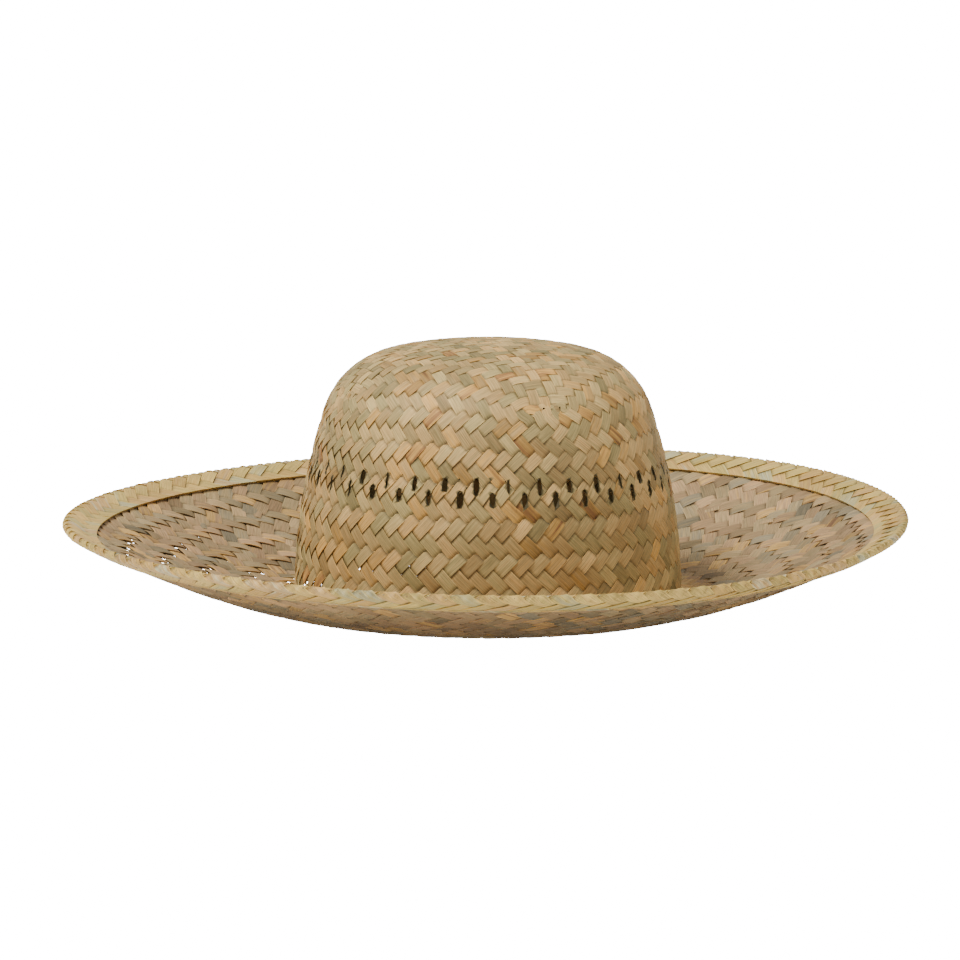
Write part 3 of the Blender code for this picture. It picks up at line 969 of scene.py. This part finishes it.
def on_braid(plan, lift):
    """Lays a flat plan on the fold: its real part runs across the braid, its imaginary part round the edge.

    The upper edge stands up by a lip and the lower one is sewn down, both eased over the edge's reach.
    """
    across, bearing = np.clip(plan.real, 0.0, BRAID_WIDTH), plan.imag / edge_radius
    slope = np.interp(across, fold_w, fold_slope)
    lift = lift + LIP * ease(1 - across / EDGE_REACH)
    lift = lift - SEWN_DOWN * ease(1 - (BRAID_WIDTH - across) / EDGE_REACH)
    radius = np.interp(across, fold_w, fold_r) - lift * np.sin(slope)
    height = np.interp(across, fold_w, fold_z) + lift * np.cos(slope) + sway(bearing, radius)
    return np.stack([radius * np.cos(bearing), radius * np.sin(bearing), height], -1)


braid_pitch = 2 * np.pi * edge_radius / BRAID_PLACES
braid_angle = np.arctan(2 * BRAID_ROW / braid_pitch)
braid_strip_width = braid_pitch * np.sin(braid_angle)


def braid_strip(lean, place):
    """A strip of the braid from one of its edges to the other, its ends cut along them.

    Place + lean row / 2 gives where it is in each row.  Its section lines turn from square to the strip to
    parallel with the edge over the last two rows, which keeps the braid's edges straight.
    """
    rows = np.arange(BRAID_ROWS + 1)
    points = rows * BRAID_ROW + 1j * braid_pitch * (place + lean * rows / 2)
    centre = smooth_path(points)
    way = np.gradient(centre)
    square = 1j * way / np.abs(way)
    row = np.arange(len(centre)) / STEPS
    end = ease(1 - np.minimum(row, BRAID_ROWS - row) / 2)
    side = square * (1 - end) + 1j / np.sin(braid_angle) * end
    over = np.where(rows % 4 < 2, 1.0, -1.0) * lean
    width = braid_strip_width * (0.95 if lean < 0 else 1.01)
    strip = make_strip(centre, side, np.abs(way), rows, rows.astype(float), over, width)
    strip["tilt"] = wander(len(centre), 10, 0.05) + lean * FLOAT_TILT[lean]
    strip["swing"], strip["bow"] = np.full(len(centre), 0.25), np.full(len(centre), 0.05)
    return strip


# Young leaf from the heart of the plant: pale yellow, smooth, a little glossier, with some silvery floats.
edge_leaf = leaf(
    "young_leaf_edge",
    [
        (0.08, "b2aa80"),
        (0.3, "bca358"),
        (0.5, "c6a75e"),
        (0.7, "c29b53"),
        (0.85, "c29d65"),
        (1.0, "c4ba90"),
    ],
    dark=0.82,
    light=1.2,
    roughness=0.5,
)
for name, lean in LEANS.items():
    strips = [braid_strip(lean, place) for place in range(BRAID_PLACES)]
    piece = plaited(f"edge_braid_strips_{name}", strips, lay=on_braid, thickness=0.36)
    finished(piece, edge_leaf, "edge_braid")

# ---- Stage -------------------------------------------------------------------------------------------------
# A matt white floor, pale all round, with one large soft light from the upper left and a weaker one opposite.
# The camera sees floor and sky as pure white.  The floor also lights the underside of the brim a little.

CAMERA_GLOW = 16.0
FLOOR_GLOW = 0.2
DARK_WITHIN, BRIGHT_BEYOND = 0.085, 0.096
floor_mesh = bpy.data.meshes.new("studio_floor")
floor_mesh.from_pydata([(-9, -9, 0), (9, -9, 0), (9, 9, 0), (-9, 9, 0)], [], [(0, 1, 2, 3)])
floor = bpy.data.objects.new("studio_floor", floor_mesh)
bpy.context.scene.collection.objects.link(floor)
paint = bpy.data.materials.new("matt_white_floor")
paint.use_nodes = True
shader = paint.node_tree.nodes["Principled BSDF"]
shader.inputs["Base Color"].default_value = linear("f0f0ee")
shader.inputs["Roughness"].default_value = 0.9
shader.inputs["Emission Color"].default_value = (1.0, 1.0, 1.0, 1.0)
seen = add(paint.node_tree, "ShaderNodeLightPath").outputs["Is Camera Ray"]
# Inside the head opening the floor lies in the dark, as it does under a real hat.
place = add(paint.node_tree, "ShaderNodeTexCoord").outputs["Object"]
far = add(paint.node_tree, "ShaderNodeVectorMath", {0: place}, operation="LENGTH").outputs["Value"]
open_floor = add(
    paint.node_tree,
    "ShaderNodeMapRange",
    {"Value": far, "From Min": DARK_WITHIN, "From Max": BRIGHT_BEYOND, "To Max": CAMERA_GLOW},
).outputs[0]
glow = add(
    paint.node_tree, "ShaderNodeMath", {0: seen, 1: open_floor, 2: FLOOR_GLOW}, operation="MULTIPLY_ADD"
).outputs[0]
paint.node_tree.links.new(glow, shader.inputs["Emission Strength"])
floor_mesh.materials.append(paint)

AMBIENT = 0.62
world = bpy.data.worlds.new("pale_studio")
world.use_nodes = True
background = world.node_tree.nodes["Background"]
background.inputs["Color"].default_value = (1.0, 1.0, 1.0, 1.0)
seen = add(world.node_tree, "ShaderNodeLightPath").outputs["Is Camera Ray"]
glow = add(
    world.node_tree, "ShaderNodeMapRange", {"Value": seen, "To Min": AMBIENT, "To Max": CAMERA_GLOW}
).outputs[0]
world.node_tree.links.new(glow, background.inputs["Strength"])
bpy.context.scene.world = world

ELEVATION = np.radians(9.83)
CAMERA_DISTANCE = 2.4
back = Vector((0.0, -np.cos(ELEVATION), np.sin(ELEVATION)))
above = Vector((0.0, np.sin(ELEVATION), np.cos(ELEVATION)))
AIM_ASIDE, AIM_ABOVE = -0.0027, 0.0194
aim = Vector((AIM_ASIDE, 0.0, edge_height * MM)) + above * AIM_ABOVE
camera_data = bpy.data.cameras.new("camera")
camera_data.lens = 180.6
camera_data.sensor_width = 36
camera = bpy.data.objects.new("camera", camera_data)
camera.location = aim + back * CAMERA_DISTANCE
camera.rotation_mode = "QUATERNION"
camera.rotation_quaternion = (-back).to_track_quat("-Z", "Y")
bpy.context.scene.collection.objects.link(camera)
bpy.context.scene.camera = camera


def softbox(name, place, size, power):
    """A square area light turned towards the hat."""
    light = bpy.data.lights.new(name, "AREA")
    light.size, light.energy = size, power
    lamp = bpy.data.objects.new(name, light)
    lamp.location = place
    lamp.rotation_mode = "QUATERNION"
    lamp.rotation_quaternion = (aim - Vector(place)).to_track_quat("-Z", "Y")
    bpy.context.scene.collection.objects.link(lamp)


softbox("key_softbox", (-1.15, -0.6, 2.4), 0.8, 97)
softbox("fill_softbox", (1.6, -1.2, 1.2), 1.2, 9)
